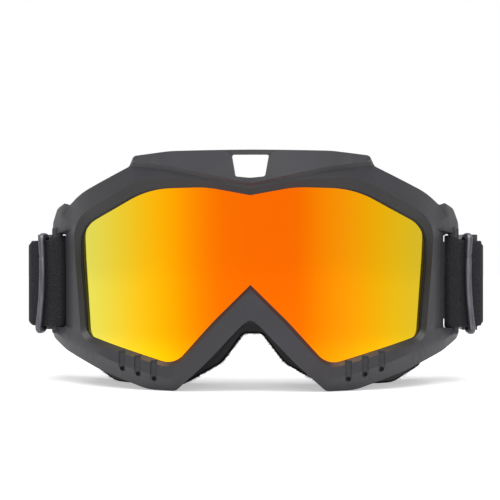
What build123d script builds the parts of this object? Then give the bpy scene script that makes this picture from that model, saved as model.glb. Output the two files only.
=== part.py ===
from build123d import *
import math
import os

# Motorcycle goggles, in millimetres. +Z is up, the lens faces -Y, and X is the plane of symmetry's
# normal, with the wearer's left at +X. The goggles stand on their cheeks and foam at Z = 0, with the
# strap looped out behind.

# Overall
DEPTH = 170.0            # fin's front to the back of the strap
STRAP_SPREAD = 219.2     # across the two strap turns

# Front frame
FRAME_R = 110.0          # radius of the rim's front face, seen from above
FIN_PROUD = 2.0          # brow fin ahead of the rim
PLATE_DEPTH = 6.0        # front plate, measured along Y
WALL_DEPTH = 14.0        # wall round the lens, measured along Y
WALL = 3.0               # that wall's thickness
BODY_HALF = 89.5         # half-width of the frame without its outriggers
OUTRIGGER_DEPTH = 11.0
BAR_WIDTH = 5.0          # strap bar, along X
BAR_THICK = 3.6          # strap bar, along Y
BAR_X = 94.9
BAR_SETBACK = 6.0        # its middle behind the rim's face
BAR_ROUND = 1.0

# Peg holes and the grooves over them, three in each cheek
PEG_R = 1.05
PEG_DEPTH = 4.5
PEG_PLACES = ((43.6, 5.4), (51.2, 7.3), (58.8, 9.3))
GROOVE_WIDTH = 3.0
GROOVE_DEPTH = 1.2
GROOVE_HEIGHT = 8.3

# Lens and gasket
LENS_SETBACK = 3.0       # lens behind the rim's front face
LENS_THICK = 1.2
LENS_LAP = 3.0           # lens edge hidden behind the rim
LENS_GAP = 0.15
EDGE_GAP = 0.4
GASKET_THICK = 1.5
GASKET_WIDTH = 2.6

# Inner skirt and face padding
SKIRT_WALL = 1.6
FACE_R = 105.0           # radius of the face curve, seen from above
FACE_SETBACK = 37.0      # flange's back face behind the fin's front, on the centre line
FLANGE_THICK = 1.8
FLANGE_INSET = 1.0
FOAM_THICK = 14.0
FLEECE_THICK = 2.0
FOAM_BAND = 11.0
VENT_GAP = 3.0
VENT_FOAM_THICK = 2.6
VENT_FOAM_LAP = 2.0
UPPER_VENT = (14.0, 60.0)
LOWER_VENT = (42.0, 66.0)

# Strap
STRAP_WIDTH = 41.0
STRAP_THICK = 1.5
STRAP_LOW = 26.6
SLOT_GAP_LOW = 0.6       # strap slot, below and above the strap
SLOT_GAP_HIGH = 3.9
LAYER_GAP = 0.25
RUN_ANGLE = 18.0         # doubled run from the bar to the turn, back from straight out
RUN_LENGTH = 12.3
RUN_START = 2.4          # where the two layers come together
TURN_R = 3.5
SIDE_ANGLE = 4.5         # side stretch leans in towards the back
BACK_R = 45.0
GRIP_WIDTH = 2.0
GRIP_THICK = 0.5
GRIP_HALF = 52.0
GRIP_ROWS = 3

# Keeper rings
WIRE_R = 1.6
RING_CORNER = 1.9        # bend of the wire's middle line
RING_GAP = 0.2
RING_PLACE = 5.0         # from the start of the doubled run
RING_TILT = 2.0

# Adjusters
SLIDER_LENGTH = 14.0
SLIDER_PLACE = 36.0      # from the start of the side stretch
SLIDER_TRAVEL = 8.0      # each way
SLIDER_BAR = 2.0         # thickness of its bars
SLIDER_BAR_WIDTH = 3.0
SLIDER_GAP = 0.2
LAP_STITCH_LENGTH = 9.0
STITCH_THICK = 0.3

BACK_Y = DEPTH / 2
FRONT_Y = -DEPTH / 2
AXIS_Y = FRONT_Y + FIN_PROUD + FRAME_R
BAR_Y = AXIS_Y - math.sqrt(FRAME_R**2 - BAR_X**2) + BAR_SETBACK
FACE_AXIS_Y = FRONT_Y + FACE_SETBACK + FACE_R
STRAP_SLOT_LOW = STRAP_LOW - SLOT_GAP_LOW
STRAP_SLOT_HIGH = STRAP_LOW + STRAP_WIDTH + SLOT_GAP_HIGH
TALL = 160.0
REACH = 200.0


# ---------- outlines in the X-Z plane, right half from top to bottom as (x, z, corner radius)

LENS_OPENING = [
    (0, 87.5, 0), (20, 91.2, 60), (46.5, 91.2, 45), (80.5, 74.3, 16), (80.4, 58, 80),
    (77.2, 23.5, 6), (34.3, 11.5, 10), (16.5, 31.2, 60), (0, 47.5, 0),
]
FRAME_OUTLINE = [
    (0, 107.5, 0), (36, 107.3, 60), (53.2, 105.6, 2.2), (55.6, 100.9, 2.2), (80, 89.8, 40),
    (87, 84.2, 1.5), (90, 85.3, 1.2), (94.6, 82.9, 4), (97.6, 76, 6), (97.6, 21.5, 6),
    (88.8, 15.7, 20), (70, 7.7, 60), (46.5, 0, 25), (33.6, 0, 3.5), (20, 12.6, 60),
    (4.5, 29, 3), (0, 32.8, 3),
]
FIN_OUTLINE = [
    (0, 107.5, 0), (36, 107.3, 60), (53.2, 105.6, 2.2), (53, 102.6, 1), (43, 101.9, 12), (0, 92.4, 0),
]
WINDOW_OUTLINE = [(8.3, 105.5, 0.9), (6.4, 95.3, 0.9)]
FOAM_OUTLINE = [
    (0, 93.0, 0), (52, 93.5, 18), (84, 74, 14), (84, 20, 14), (79.6, 0, 10), (33, 0, 4),
    (14.5, 10.6, 14), (4.2, 24.4, 2.5), (0, 24.4, 0),
]


def outline(half):
    """A closed face, symmetric about X = 0, from the right half's corners."""
    left = [(-x, z, r) for x, z, r in reversed(half) if x > 0]
    ring = half + left
    corners = [(x, z) for x, z, _ in ring]
    return make_face(FilletPolyline(*corners, radius=[r for _, _, r in ring], close=True))


def prism(face):
    """The outline carried straight forward along -Y, from just ahead of the rim cylinder's axis."""
    return extrude(Plane.XZ.offset(2 - AXIS_Y) * face, amount=REACH)


def grown(face, amount):
    return offset(face, amount=amount, kind=Kind.ARC) if amount else face


def drum(radius, axis_y):
    """Everything inside an upright cylinder."""
    return Pos(0, axis_y, TALL / 2 - 20) * Cylinder(radius, TALL)


def between(body, front, back):
    """The part of a body behind one upright cylinder's face and ahead of another's."""
    return (body & drum(*front)) - drum(*back)


def slab(x_low, x_high, z_low, z_high):
    """A block through the whole depth."""
    return Pos((x_low + x_high) / 2, 0, (z_low + z_high) / 2) * Box(x_high - x_low, 2 * REACH, z_high - z_low)


def both_sides(solid):
    return solid + mirror(solid, about=Plane.YZ)


opening = outline(LENS_OPENING)
lens_edge = grown(opening, LENS_LAP)
cavity = grown(opening, LENS_LAP + EDGE_GAP)

RIM_FACE = (FRAME_R, AXIS_Y)
LENS_FACE = (FRAME_R - LENS_SETBACK, AXIS_Y)
LENS_BACK = (FRAME_R - LENS_SETBACK - LENS_THICK, AXIS_Y)
GASKET_FACE = (LENS_BACK[0] - LENS_GAP, AXIS_Y)
GASKET_BACK = (GASKET_FACE[0] - GASKET_THICK, AXIS_Y)
FLANGE_BACK = (FACE_R, FACE_AXIS_Y)
FLANGE_FACE = (FACE_R, FACE_AXIS_Y - FLANGE_THICK)
FOAM_BACK = (FACE_R, FACE_AXIS_Y + FOAM_THICK)
FLEECE_BACK = (FACE_R, FACE_AXIS_Y + FOAM_THICK + FLEECE_THICK)


def behind_rim(distance):
    """The rim's face moved back along Y."""
    return (FRAME_R, AXIS_Y + distance)


def rim_y(x):
    return AXIS_Y - math.sqrt(FRAME_R**2 - x**2)


# ---------- front frame

def front_frame():
    whole = prism(outline(FRAME_OUTLINE))
    plate = between(whole, RIM_FACE, behind_rim(PLATE_DEPTH))
    outriggers = slab(BODY_HALF - 4, 120, -10, 120) + slab(-120, 4 - BODY_HALF, -10, 120)
    plate += between(whole & outriggers, RIM_FACE, behind_rim(OUTRIGGER_DEPTH))
    fin = prism(outline(FIN_OUTLINE))
    plate += between(fin, (FRAME_R + FIN_PROUD, AXIS_Y), behind_rim(PLATE_DEPTH))
    wall = prism(grown(opening, LENS_LAP + EDGE_GAP + WALL)) & whole
    plate += between(wall, RIM_FACE, behind_rim(WALL_DEPTH))

    pocket = prism(cavity) & drum(LENS_FACE[0] + LENS_GAP, AXIS_Y)
    frame = plate - prism(opening) - pocket - prism(outline(WINDOW_OUTLINE))
    frame -= both_sides(slab(BODY_HALF, 120, STRAP_SLOT_LOW, STRAP_SLOT_HIGH))
    bar_face = RectangleRounded(BAR_WIDTH, BAR_THICK, BAR_ROUND)
    bar_low = STRAP_SLOT_LOW - 3
    bar = extrude(Pos(BAR_X, BAR_Y, bar_low) * bar_face, amount=STRAP_SLOT_HIGH - STRAP_SLOT_LOW + 6)
    frame += both_sides(bar)
    for x, z in PEG_PLACES:
        frame -= both_sides(peg_groove(x, z))
    return frame


def peg_groove(x, z):
    """A shallow groove down the cheek, with a blind peg hole at its lower end."""
    top = z + GROOVE_HEIGHT
    strip = slab(x - GROOVE_WIDTH / 2, x + GROOVE_WIDTH / 2, z, top)
    strip += Pos(x, 0, z) * Rot(90, 0, 0) * Cylinder(GROOVE_WIDTH / 2, 2 * REACH)
    groove = strip & Pos(x, rim_y(x), z) * Box(20, 2 * GROOVE_DEPTH, 40)
    hole_depth = GROOVE_DEPTH + PEG_DEPTH
    hole = Pos(x, rim_y(x) + hole_depth / 2, z) * Rot(90, 0, 0) * Cylinder(PEG_R, hole_depth)
    return groove + hole


# ---------- lens, gasket, skirt and padding

def lens():
    return between(prism(lens_edge), LENS_FACE, LENS_BACK)


def lens_gasket():
    ring = prism(lens_edge) - prism(grown(opening, LENS_LAP - GASKET_WIDTH))
    return between(ring, GASKET_FACE, GASKET_BACK)


def vent_zone(x_range, low, high, margin):
    """The space over a vent: behind the frame's wall and ahead of the flange."""
    x_low, x_high = x_range
    block = slab(x_low - margin, x_high + margin, low, high)
    front = behind_rim(WALL_DEPTH + VENT_GAP - margin)
    back = (FACE_R, FACE_AXIS_Y - FLANGE_THICK - VENT_GAP + margin)
    return between(block, front, back)


def skirt_ring(outer, inner):
    return prism(grown(opening, outer)) - prism(grown(opening, inner))


def inner_skirt():
    wall = between(skirt_ring(LENS_LAP, LENS_LAP - SKIRT_WALL), GASKET_BACK, FLANGE_BACK)
    plate = prism(grown(outline(FOAM_OUTLINE), -FLANGE_INSET)) - prism(grown(opening, LENS_LAP - SKIRT_WALL))
    skirt = wall + between(plate, FLANGE_FACE, FLANGE_BACK)
    skirt -= both_sides(vent_zone(UPPER_VENT, 80, 110, 0))
    skirt -= both_sides(vent_zone(LOWER_VENT, 2, 28, 0))
    return skirt


def vent_foam(x_range, low, high):
    inside = LENS_LAP - SKIRT_WALL
    strip = skirt_ring(inside, inside - VENT_FOAM_THICK)
    return strip & vent_zone(x_range, low, high, VENT_FOAM_LAP)


def pad_ring():
    face = outline(FOAM_OUTLINE)
    eye = prism(grown(face, -FOAM_BAND))
    return prism(face) - eye


# ---------- strap: one webbing, laid round both strap bars and lapped back on itself

def heading(degrees):
    return Vector(math.cos(math.radians(degrees)), math.sin(math.radians(degrees)))


RUN = heading(RUN_ANGLE)
RUN_IN = heading(RUN_ANGLE + 90)
SIDE = heading(90 + SIDE_ANGLE)
SIDE_IN = heading(180 + SIDE_ANGLE)
HALF_THICK = STRAP_THICK / 2
TURN_X = STRAP_SPREAD / 2 - HALF_THICK + 0.2
TURN_Y = BAR_Y + 2.0
TURN = Vector(TURN_X, TURN_Y)
LAYER_PITCH = STRAP_THICK + LAYER_GAP
MITRE = (RUN_IN + SIDE_IN) / (1 + RUN_IN.dot(SIDE_IN))

# Layers from the outside in, where the adjuster slides: strap, turned end, centre bar, lap
FOLD_OUT = STRAP_THICK + SLIDER_GAP
BAR_IN = FOLD_OUT + HALF_THICK + SLIDER_GAP + SLIDER_BAR / 2
LAP_IN = BAR_IN + SLIDER_BAR / 2 + SLIDER_GAP + HALF_THICK
INNER_LAYER = LAP_IN - STRAP_THICK - LAYER_GAP
INNER_START = 8.0
INNER_END = SLIDER_PLACE - SLIDER_TRAVEL - SLIDER_BAR_WIDTH / 2 - 1.0
LAP_LENGTH = 2 * SLIDER_TRAVEL + SLIDER_BAR_WIDTH / 2 + 2.0


def on_run(distance, inward):
    return TURN - RUN * (RUN_LENGTH - distance) + RUN_IN * inward


def on_side(distance, inward):
    return TURN + SIDE * distance + SIDE_IN * inward


def ribbon(points, radii, thick):
    """A bent strip as a face, from its middle line."""
    line = FilletPolyline(*points, radius=radii)
    return make_face(Wire(line.edges()).offset_2d(thick / 2, kind=Kind.ARC, side=Side.BOTH).edges())


def strap_band(face, low, high):
    return extrude(Pos(0, 0, low) * face, amount=high - low)


def strap_line():
    """Corners of the strap's middle line from the right-hand end to the middle of the back."""
    clear_x = BAR_WIDTH / 2 + LAYER_GAP + HALF_THICK
    clear_y = BAR_THICK / 2 + LAYER_GAP + HALF_THICK
    wrap = BAR_ROUND + LAYER_GAP + HALF_THICK
    rear = on_run(RUN_START, LAYER_PITCH)
    front = on_run(RUN_START, 0)
    reach = BAR_WIDTH / 2
    back_along = (BACK_Y - HALF_THICK - TURN.Y) / SIDE.Y
    return [
        (on_side(INNER_END, INNER_LAYER), 0),
        (on_side(INNER_START, INNER_LAYER), 8),
        (TURN + MITRE * LAYER_PITCH, TURN_R - LAYER_PITCH),
        (rear, 2),
        (Vector(BAR_X + reach, BAR_Y + clear_y), 2),
        (Vector(BAR_X - clear_x, BAR_Y + clear_y), wrap),
        (Vector(BAR_X - clear_x, BAR_Y - clear_y), wrap),
        (Vector(BAR_X + reach, BAR_Y - clear_y), 2),
        (front, 2),
        (TURN, TURN_R),
        (on_side(back_along, 0), BACK_R),
    ]


def flipped(point):
    return Vector(-point.X, point.Y)


def elastic_strap():
    half = strap_line()
    other = [(flipped(point), radius) for point, radius in reversed(half)]
    full = half + other
    points = [point for point, _ in full]
    radii = [radius for _, radius in full[1:-1]]
    face = ribbon(points, radii, STRAP_THICK)
    return strap_band(face, STRAP_LOW, STRAP_LOW + STRAP_WIDTH)


def strap_grip():
    """Silicone beads on the strap's inner face, across the back of the head."""
    y = BACK_Y - STRAP_THICK - GRIP_THICK / 2
    pitch = STRAP_WIDTH / (GRIP_ROWS + 1)
    rows = []
    for row in range(GRIP_ROWS):
        z = STRAP_LOW + pitch * (row + 1)
        rows.append(Pos(0, y, z) * Box(2 * GRIP_HALF, GRIP_THICK, GRIP_WIDTH))
    return Compound(children=[part.solid() for part in rows])


def keeper_ring():
    """A bent wire loop round the two layers of the strap, on the right."""
    layers = LAYER_PITCH + STRAP_THICK
    across = layers + 2 * RING_GAP + 2 * WIRE_R
    tall = STRAP_WIDTH + 2 * RING_GAP + 2 * RING_CORNER
    centre = on_run(RING_PLACE, LAYER_PITCH / 2)
    middle = Vector(centre.X, centre.Y, STRAP_LOW + STRAP_WIDTH / 2)
    lean = math.radians(RING_TILT)
    level = math.cos(lean)
    facing = (RUN.X * level, RUN.Y * level, math.sin(lean))
    loop_plane = Plane(origin=middle, x_dir=(RUN_IN.X, RUN_IN.Y, 0), z_dir=facing)
    path = loop_plane * RectangleRounded(across, tall, RING_CORNER).wire()
    start = Plane(origin=path @ 0, z_dir=path % 0)
    return sweep(start * Circle(WIRE_R), path=path)


def side_block(s_low, s_high, in_low, in_high, z_low, z_high):
    """A block laid along the strap's side stretch, by distance along it and distance inwards."""
    base = [on_side(s_low, in_low), on_side(s_high, in_low), on_side(s_high, in_high), on_side(s_low, in_high)]
    face = make_face(Polyline(*base, close=True))
    return extrude(Pos(0, 0, z_low) * face, amount=z_high - z_low)


def adjuster():
    """A three-bar slider: two outer bars over the strap and a centre bar inside it."""
    low = STRAP_LOW - 0.6
    high = STRAP_LOW + STRAP_WIDTH + 0.6
    rail = 2.6
    outside = -(HALF_THICK + SLIDER_GAP + SLIDER_BAR)
    inside = BAR_IN + SLIDER_BAR / 2
    front = SLIDER_PLACE - SLIDER_LENGTH / 2
    back = SLIDER_PLACE + SLIDER_LENGTH / 2
    body = side_block(front, back, outside, inside, low - rail, low)
    body += side_block(front, back, outside, inside, high, high + rail)
    over = outside + SLIDER_BAR
    body += side_block(front, front + SLIDER_BAR_WIDTH, outside, over, low - rail, high + rail)
    body += side_block(back - SLIDER_BAR_WIDTH, back, outside, over, low - rail, high + rail)
    half_bar = SLIDER_BAR_WIDTH / 2
    body += side_block(SLIDER_PLACE - half_bar, SLIDER_PLACE + half_bar, inside - SLIDER_BAR, inside, low, high)
    return body


def strap_end():
    """The strap's end, turned round the adjuster's centre bar and sewn along the lap."""
    turn = SLIDER_PLACE + SLIDER_BAR_WIDTH / 2 + SLIDER_GAP + HALF_THICK
    wrap = HALF_THICK + SLIDER_GAP
    points = [
        on_side(SLIDER_PLACE - LAP_LENGTH, LAP_IN), on_side(turn, LAP_IN),
        on_side(turn, FOLD_OUT), on_side(SLIDER_PLACE - SLIDER_BAR_WIDTH, FOLD_OUT),
    ]
    face = ribbon(points, [wrap, wrap], STRAP_THICK)
    return strap_band(face, STRAP_LOW, STRAP_LOW + STRAP_WIDTH)


def lap_stitching():
    """Two rows of thread across the lap, standing just proud of it."""
    inside = LAP_IN + HALF_THICK
    rows = []
    for offset_along in (0, LAP_STITCH_LENGTH):
        start = SLIDER_PLACE - LAP_LENGTH + 3.0 + offset_along
        low = STRAP_LOW + 2.5
        high = STRAP_LOW + STRAP_WIDTH - 2.5
        rows.append(side_block(start, start + 0.8, inside, inside + STITCH_THICK, low, high))
    return Compound(children=[part.solid() for part in rows])


def mirrored(solid):
    return mirror(solid, about=Plane.YZ)


NODES = {
    "front_frame": front_frame(),
    "lens": lens(),
    "lens_gasket": lens_gasket(),
    "inner_skirt": inner_skirt(),
    "face_foam": between(pad_ring(), FLANGE_BACK, FOAM_BACK),
    "face_fleece": between(pad_ring(), FOAM_BACK, FLEECE_BACK),
    "elastic_strap": elastic_strap(),
    "strap_grip": strap_grip(),
}
PAIRS = {
    "upper_vent_foam": vent_foam(UPPER_VENT, 80, 110),
    "lower_vent_foam": vent_foam(LOWER_VENT, 2, 28),
    "keeper_ring": keeper_ring(),
    "adjuster": adjuster(),
    "strap_end": strap_end(),
    "lap_stitching": lap_stitching(),
}
for name, right in PAIRS.items():
    NODES["left_" + name] = right
    NODES["right_" + name] = mirrored(right)

os.makedirs("parts", exist_ok=True)
for name, solid in NODES.items():
    export_step(solid, f"parts/{name}.step")
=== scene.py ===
"""Motorcycle goggles: the visual pieces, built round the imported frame. Shapes are drawn in
millimetres in the row's own frame (+Z up, lens facing -Y, wearer's left at +X) and each piece's mesh
is scaled to metres once it is finished."""

import math
import random

import bpy
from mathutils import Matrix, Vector, noise
from mathutils.geometry import delaunay_2d_cdt


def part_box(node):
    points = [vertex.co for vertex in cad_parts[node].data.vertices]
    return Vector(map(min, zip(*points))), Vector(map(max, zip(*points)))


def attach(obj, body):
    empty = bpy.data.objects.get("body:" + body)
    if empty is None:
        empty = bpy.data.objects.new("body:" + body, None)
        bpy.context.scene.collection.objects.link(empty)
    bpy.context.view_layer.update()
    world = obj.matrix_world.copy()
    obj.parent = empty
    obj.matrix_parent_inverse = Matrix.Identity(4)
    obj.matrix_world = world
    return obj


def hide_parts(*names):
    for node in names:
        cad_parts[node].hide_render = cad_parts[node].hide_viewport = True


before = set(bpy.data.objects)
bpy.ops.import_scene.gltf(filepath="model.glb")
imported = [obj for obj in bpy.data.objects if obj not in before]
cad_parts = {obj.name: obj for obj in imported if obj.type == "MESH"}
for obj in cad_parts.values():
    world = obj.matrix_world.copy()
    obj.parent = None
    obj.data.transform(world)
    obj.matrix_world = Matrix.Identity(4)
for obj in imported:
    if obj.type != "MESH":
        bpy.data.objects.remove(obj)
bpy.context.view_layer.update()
for cad_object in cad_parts.values():
    cad_object.select_set(False)

MM = 0.001
FRONT_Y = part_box("front_frame")[0].y / MM
BACK_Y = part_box("elastic_strap")[1].y / MM

# Curves seen from above: the rim's face and the face flange
RIM_R = 110.0
FIN_PROUD = 2.0
AXIS_Y = FRONT_Y + FIN_PROUD + RIM_R
LENS_R = 107.0
LENS_THICK = 1.2
GASKET_R = 105.65
GASKET_THICK = 1.5
SKIRT_R = GASKET_R - GASKET_THICK
FACE_R = 105.0
FACE_SETBACK = 37.0
FACE_AXIS_Y = FRONT_Y + FACE_SETBACK + FACE_R

# Thicknesses and clearances
PLATE_DEPTH = 6.0
OUTRIGGER_EXTRA = 5.0
OUTRIGGER_START = 84.0
OUTRIGGER_BLEND = 4.5
LENS_LAP = 3.0
EDGE_GAP = 0.4
WALL = 3.0
WALL_DEPTH = 14.0
POCKET_R = 107.15
SKIRT_WALL = 1.6
FLANGE_THICK = 1.8
FOAM_THICK = 14.0
FLEECE_THICK = 2.0
FOAM_BAND = 11.0
PEG_R = 1.05
PEG_PLACES = ((43.6, 5.4), (51.2, 7.3), (58.8, 9.3))
GROOVE_HALF = 1.5
GROOVE_TOP = 10.3
GROOVE_DEPTH = 2.0

# ---------------------------------------------------------------- outlines
# Right half from top to bottom: x, z, corner radius, depth behind the rim's face.

LENS_OPENING = [
    (0, 87.5, 0, 2.4), (20, 91.2, 60, 2.5), (46.5, 91.2, 45, 2.8), (80.5, 74.3, 16, 3.8),
    (80.4, 58, 80, 3.8), (77.2, 23.5, 6, 3.5), (34.3, 11.5, 10, 2.5), (16.5, 31.2, 60, 2.2),
    (0, 47.5, 0, 2.0),
]
BEVEL_CREST = [
    (0, 90.2, 0, 0.2), (19, 93.7, 60, 0.1), (29, 95.0, 30, -0.1), (48.5, 95.8, 40, -0.5),
    (84.2, 77.3, 17, -0.6), (83.0, 58, 80, -0.5), (79.7, 21.6, 7, -0.2), (34.2, 9.9, 10.5, 0.0),
    (15.5, 30.1, 60, 0.0), (0, 45.8, 0, -0.1),
]
OUTER_EDGE = [
    (0, 107.5, 0, 0.6), (36, 107.3, 60, 0.8), (53.2, 105.6, 2.2, 1.2), (55.6, 100.9, 2.2, 2.4),
    (80, 89.8, 40, 3.2), (87, 84.2, 1.5, 4.0), (90, 85.3, 1.2, 4.0), (94.6, 82.9, 4, 4.2),
    (97.6, 76, 6, 4.2), (97.6, 70.4, 0.8, 3.4), (89.5, 72.2, 0, 2.6), (89.5, 71.2, 0, 6.5),
    (89.5, 27.5, 0, 6.5), (89.5, 26.3, 0, 2.8), (97.6, 26.0, 0.8, 3.8), (97.6, 21.5, 6, 5.0),
    (88.8, 15.7, 20, 5.0), (70, 7.7, 60, 5.0), (46.5, 0, 25, 4.8), (33.6, 0, 3.5, 3.6),
    (20, 12.6, 60, 1.6), (4.5, 29, 3, 1.2), (0, 32.8, 3, 1.0),
]
FIN_CREASE = [
    (0, 92.4, 0, -1.8), (21, 97.2, 40, -1.8), (33, 99.9, 40, -1.7), (44, 101.7, 30, -1.4),
    (53.6, 102.7, 0, -0.4),
]
BAND_FOOT = [
    (0, 91.3, 0, -0.3), (20, 95.0, 40, 0.1), (33.6, 97.7, 60, 0.3), (48, 100.2, 40, 0.6),
    (54.2, 101.0, 0, 1.4),
]
CHEEK_CREASE = [
    (31.8, 5.6, 0, 0.9), (36, 5.4, 12, -0.2), (47, 8.0, 30, -0.5), (62, 12.0, 60, -0.5),
    (76, 17.2, 60, -0.2), (90, 21.0, 0, 1.0),
]
SIDE_CREST = [
    (85.2, 76.5, 0, 0.6), (84.9, 73.4, 0, 0.9), (84.6, 72.6, 0, 0.6), (84.5, 68, 0, 0.5),
    (84.0, 27.6, 0, 0.6), (84.0, 26.8, 0, 0.8), (85, 22.6, 0, 0.6),
]
LEDGE_TOP = [(84.9, 73.4, 0, 0.9), (89.5, 72.2, 0, 2.6)]
LEDGE_FOOT = [(84.6, 72.6, 0, 0.6), (89.5, 71.2, 0, 6.5)]
SILL_FOOT = [(84.0, 27.6, 0, 0.6), (89.5, 27.5, 0, 6.5)]
SILL_EDGE = [(84.0, 26.8, 0, 0.8), (89.5, 26.3, 0, 2.8)]
UPPER_LOBE = [(88.4, 75.6, 0, 1.0), (91.0, 79.0, 4, 1.2), (91.4, 82.6, 0, 2.2)]
LOWER_LOBE = [(90.2, 23.9, 0, 1.4), (92.4, 22.4, 4, 1.6), (95.4, 23.6, 0, 2.2)]
NOSE_RIDGE = [(0, 44.9, 0, -0.8), (0, 35.0, 0, -0.5)]
WINDOW = [(8.3, 105.5, 0.9, 0.4), (6.6, 95.6, 1.2, -1.5), (0, 94.9, 12, -1.7)]
FOLDS = (
    FIN_CREASE, BAND_FOOT, CHEEK_CREASE, SIDE_CREST, LEDGE_TOP, LEDGE_FOOT, SILL_FOOT, SILL_EDGE, UPPER_LOBE,
    LOWER_LOBE, NOSE_RIDGE,
)
FOAM_OUTLINE = [
    (0, 93.0, 0, 0), (52, 93.5, 18, 0), (84, 74, 14, 0), (84, 20, 14, 0), (80.5, 8, 5, 0), (66, 0, 12, 0),
    (33, 0, 6, 0), (14.5, 10.6, 14, 0), (4.2, 24.4, 2.5, 0), (0, 24.4, 0, 0),
]
SKIRT_MOUTH = [
    (0, 88.2, 30, 0), (46.5, 91.2, 45, 0), (80.5, 74.3, 16, 0), (80.4, 58, 80, 0), (77.2, 23.5, 8, 0),
    (34.3, 11.5, 10, 0), (16.5, 31.2, 60, 0), (0, 47.5, 6, 0),
]


def whole(half):
    """The outline's corners all the way round, from its right half."""
    return half + [(-x, z, r, d) for x, z, r, d in reversed(half) if x > 0]


def round_corner(before, corner, after, radius):
    """Points of the arc that rounds a corner, or the corner itself."""
    here = Vector(corner[:2])
    to_before = Vector(before[:2]) - here
    to_after = Vector(after[:2]) - here
    if radius <= 0:
        return [here]
    half_turn = (math.pi - to_before.angle(to_after)) / 2
    if half_turn < 0.004:
        return [here]
    reach = radius * math.tan(half_turn)
    reach = min(reach, 0.49 * to_before.length, 0.49 * to_after.length)
    radius = reach / math.tan(half_turn)
    start = here + to_before.normalized() * reach
    end = here + to_after.normalized() * reach
    count = max(2, math.ceil(2 * half_turn * radius / 1.2), math.ceil(half_turn / 0.12))
    bisector = (to_before.normalized() + to_after.normalized()).normalized()
    centre = here + bisector * (radius / math.cos(half_turn))
    from_start = start - centre
    side = from_start.cross(end - centre)
    turn = 2 * half_turn * (1 if side > 0 else -1)
    points = []
    for k in range(count + 1):
        angle = turn * k / count
        ca, sa = math.cos(angle), math.sin(angle)
        turned = (from_start.x * ca - from_start.y * sa, from_start.x * sa + from_start.y * ca)
        points.append(centre + Vector(turned))
    return points


def trace(corners, step=2.2, closed=True):
    """Points (x, z, depth) along rounded corners, no further apart than step."""
    n = len(corners)
    arcs = []
    for i, corner in enumerate(corners):
        if not closed and i in (0, n - 1):
            arcs.append([Vector(corner[:2])])
        else:
            arcs.append(round_corner(corners[i - 1], corner, corners[(i + 1) % n], corner[2]))
    points = []
    for i, arc in enumerate(arcs):
        points += [(p.x, p.y, corners[i][3]) for p in arc]
        if not closed and i == n - 1:
            break
        nxt = (i + 1) % n
        start, end = arc[-1], arcs[nxt][0]
        parts = math.ceil((end - start).length / step)
        for k in range(1, parts):
            t = k / parts
            p = start.lerp(end, t)
            points.append((p.x, p.y, corners[i][3] * (1 - t) + corners[nxt][3] * t))
    clean = [points[0]]
    for p in points[1:]:
        if math.dist(p[:2], clean[-1][:2]) > 0.02:
            clean.append(p)
    if closed and math.dist(clean[0][:2], clean[-1][:2]) < 0.02:
        clean.pop()
    return clean


def outline(half, step=2.2):
    return trace(whole(half), step)


def both_halves(line):
    """An open line and its mirror image; one line if it starts on the centre line."""
    mirrored = [(-x, z, r, d) for x, z, r, d in line]
    if line[0][0] == 0:
        return [list(reversed(mirrored)) + line[1:]] if line[-1][0] != 0 else [line]
    return [line, mirrored]


def edge_distance(point, loop):
    best = 1e9
    p = Vector(point[:2])
    for a, b in zip(loop, loop[1:] + loop[:1]):
        start = Vector(a[:2])
        run = Vector(b[:2]) - start
        t = max(0.0, min(1.0, (p - start).dot(run) / max(run.length_squared, 1e-12)))
        best = min(best, (p - start - run * t).length)
    return best


def holds(loop, x, z):
    """Whether the closed outline holds the point."""
    odd = False
    for a, b in zip(loop, loop[1:] + loop[:1]):
        if (a[1] > z) != (b[1] > z) and x < (b[0] - a[0]) * (z - a[1]) / (b[1] - a[1]) + a[0]:
            odd = not odd
    return odd


def clockwise(loop):
    return sum(a[0] * b[1] - b[0] * a[1] for a, b in zip(loop, loop[1:] + loop[:1])) < 0


def grown(loop, amount, trim=True):
    """The outline moved outwards by an amount, with what folds over itself left out."""
    sign = 1 if clockwise(loop) else -1
    n = len(loop)
    moved = []
    for i, point in enumerate(loop):
        a, b = Vector(loop[i - 1][:2]), Vector(loop[(i + 1) % n][:2])
        here = Vector(point[:2])
        first = (here - a).normalized()
        second = (b - here).normalized()
        normal = Vector((-(first.y + second.y), first.x + second.x)).normalized() * sign
        mitre = normal * amount / max(0.45, math.cos(first.angle(second) / 2))
        moved.append((here.x + mitre.x, here.y + mitre.y, point[2]))
    if not trim:
        return moved
    return [p for p in moved if edge_distance(p, loop) > abs(amount) * 0.985]


def rim_y(x, radius=RIM_R):
    return AXIS_Y - math.sqrt(radius**2 - x**2)


def face_y(x):
    return FACE_AXIS_Y - math.sqrt(FACE_R**2 - x**2)


# ---------------------------------------------------------------- mesh helpers

def only(obj):
    """obj alone is selected and active."""
    for other in bpy.context.selected_objects:
        other.select_set(False)
    obj.select_set(True)
    bpy.context.view_layer.objects.active = obj


def new_object(name, vertices, faces):
    mesh = bpy.data.meshes.new(name)
    mesh.from_pydata(vertices, [], faces)
    obj = bpy.data.objects.new(name, mesh)
    bpy.context.scene.collection.objects.link(obj)
    only(obj)
    return obj


def edit(obj, *steps):
    """Runs edit-mode steps on the whole of one mesh."""
    only(obj)
    bpy.ops.object.mode_set(mode="EDIT")
    bpy.ops.mesh.select_all(action="SELECT")
    for step in steps:
        step()
    bpy.ops.object.mode_set(mode="OBJECT")


def merge_doubles():
    bpy.ops.mesh.remove_doubles(threshold=0.001)


def flat_faces():
    bpy.ops.mesh.quads_convert_to_tris(quad_method="BEAUTY", ngon_method="BEAUTY")


def drop_slivers():
    bpy.ops.mesh.remove_doubles(threshold=0.004)
    bpy.ops.mesh.dissolve_degenerate(threshold=0.002)


def face_out():
    bpy.ops.mesh.normals_make_consistent(inside=False)


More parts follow.
